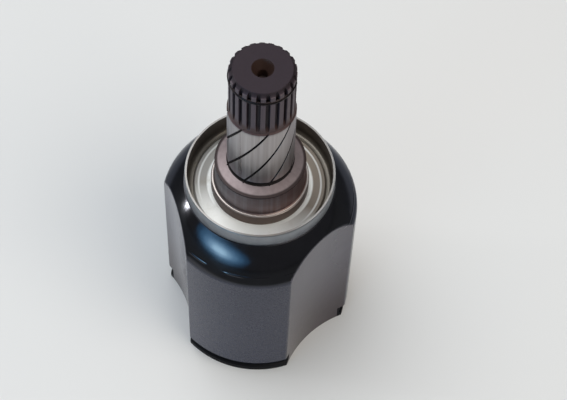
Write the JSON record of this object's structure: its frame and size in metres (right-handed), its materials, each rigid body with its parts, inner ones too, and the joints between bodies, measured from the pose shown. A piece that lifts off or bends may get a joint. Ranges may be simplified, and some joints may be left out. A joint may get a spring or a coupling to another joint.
{
  "type": "cv joint",
  "caption": "Inboard tripod constant-velocity joint: lobed tulip housing with splined stub and dust shield, holding a tripod on roller cassettes.",
  "frame": {"origin": "on the stub's axis, in the plane of the housing's mouth", "axes": "+Z along the stub, from the mouth to the splined end; lobe 1 of the housing points to -Y"},
  "size_m": [0.0776, 0.0732, 0.1663],
  "materials": {
    "painted_forging": "gloss black paint on the bell, ground and phosphated steel on the stub",
    "shield_steel": "pale zinc-plated pressing",
    "spring_steel": "oiled dark spring wire",
    "tripod_steel": "ground case-hardened steel",
    "bearing_steel": "polished bearing steel"
  },
  "bodies": {
    "housing": {"tulip_housing": "painted_forging", "dust_shield": "shield_steel", "stub_circlip": "spring_steel", "stop_ring": "spring_steel"},
    "carriage": {"inner_ring_2": "bearing_steel", "outer_washer_2": "bearing_steel", "inner_washer_2": "bearing_steel", "inner_ring_3": "bearing_steel", "outer_washer_3": "bearing_steel", "inner_washer_3": "bearing_steel"},
    "tripod": {"tripod_spider": "tripod_steel"},
    "cassette_1": {"inner_ring_1": "bearing_steel", "outer_washer_1": "bearing_steel", "inner_washer_1": "bearing_steel"},
    "roller_1": {"roller_1": "bearing_steel"},
    "needles_1": {"needle_rollers_1": "bearing_steel"},
    "roller_2": {"roller_2": "bearing_steel"},
    "needles_2": {"needle_rollers_2": "bearing_steel"},
    "roller_3": {"roller_3": "bearing_steel"},
    "needles_3": {"needle_rollers_3": "bearing_steel"}
  },
  "joints": [
    {"name": "plunge", "type": "slide", "parent": "housing", "child": "carriage", "axis": [0, 0, 1], "range_m": [-0.01, 0.01]},
    {"name": "articulation", "type": "hinge", "parent": "carriage", "child": "tripod", "pos_m": [0, 0.01175, 0.0422], "axis": [-1, 0, 0], "range_deg": [-16, 16]},
    {"name": "cassette_1_lift", "type": "slide", "parent": "carriage", "child": "cassette_1", "axis": [0, 0, 1], "range_m": [-0.00975, 0.00975]},
    {"name": "roller_1_spin", "type": "hinge", "parent": "cassette_1", "child": "roller_1", "pos_m": [0, -0.0235, 0.0422], "axis": [0, -1, 0], "range_deg": [-37, 37]},
    {"name": "needles_1_orbit", "type": "hinge", "parent": "cassette_1", "child": "needles_1", "pos_m": [0, -0.0235, 0.0422], "axis": [0, -1, 0], "range_deg": [-20.5, 20.5]},
    {"name": "roller_2_spin", "type": "hinge", "parent": "carriage", "child": "roller_2", "pos_m": [0.02035, 0.01175, 0.0422], "axis": [0.866, 0.5, 0], "range_deg": [-37, 37]},
    {"name": "needles_2_orbit", "type": "hinge", "parent": "carriage", "child": "needles_2", "pos_m": [0.02035, 0.01175, 0.0422], "axis": [0.866, 0.5, 0], "range_deg": [-20.5, 20.5]},
    {"name": "roller_3_spin", "type": "hinge", "parent": "carriage", "child": "roller_3", "pos_m": [-0.02035, 0.01175, 0.0422], "axis": [-0.866, 0.5, 0], "range_deg": [-37, 37]},
    {"name": "needles_3_orbit", "type": "hinge", "parent": "carriage", "child": "needles_3", "pos_m": [-0.02035, 0.01175, 0.0422], "axis": [-0.866, 0.5, 0], "range_deg": [-20.5, 20.5]}
  ],
  "couplings": [
    {"joint": "cassette_1_lift", "follows": "articulation", "m_per_rad": 0.034794},
    {"joint": "roller_1_spin", "follows": "plunge", "rad_per_m": -64.516},
    {"joint": "needles_1_orbit", "follows": "plunge", "rad_per_m": -35.61},
    {"joint": "roller_2_spin", "follows": "plunge", "rad_per_m": -64.516},
    {"joint": "needles_2_orbit", "follows": "plunge", "rad_per_m": -35.61},
    {"joint": "roller_3_spin", "follows": "plunge", "rad_per_m": -64.516},
    {"joint": "needles_3_orbit", "follows": "plunge", "rad_per_m": -35.61}
  ]
}
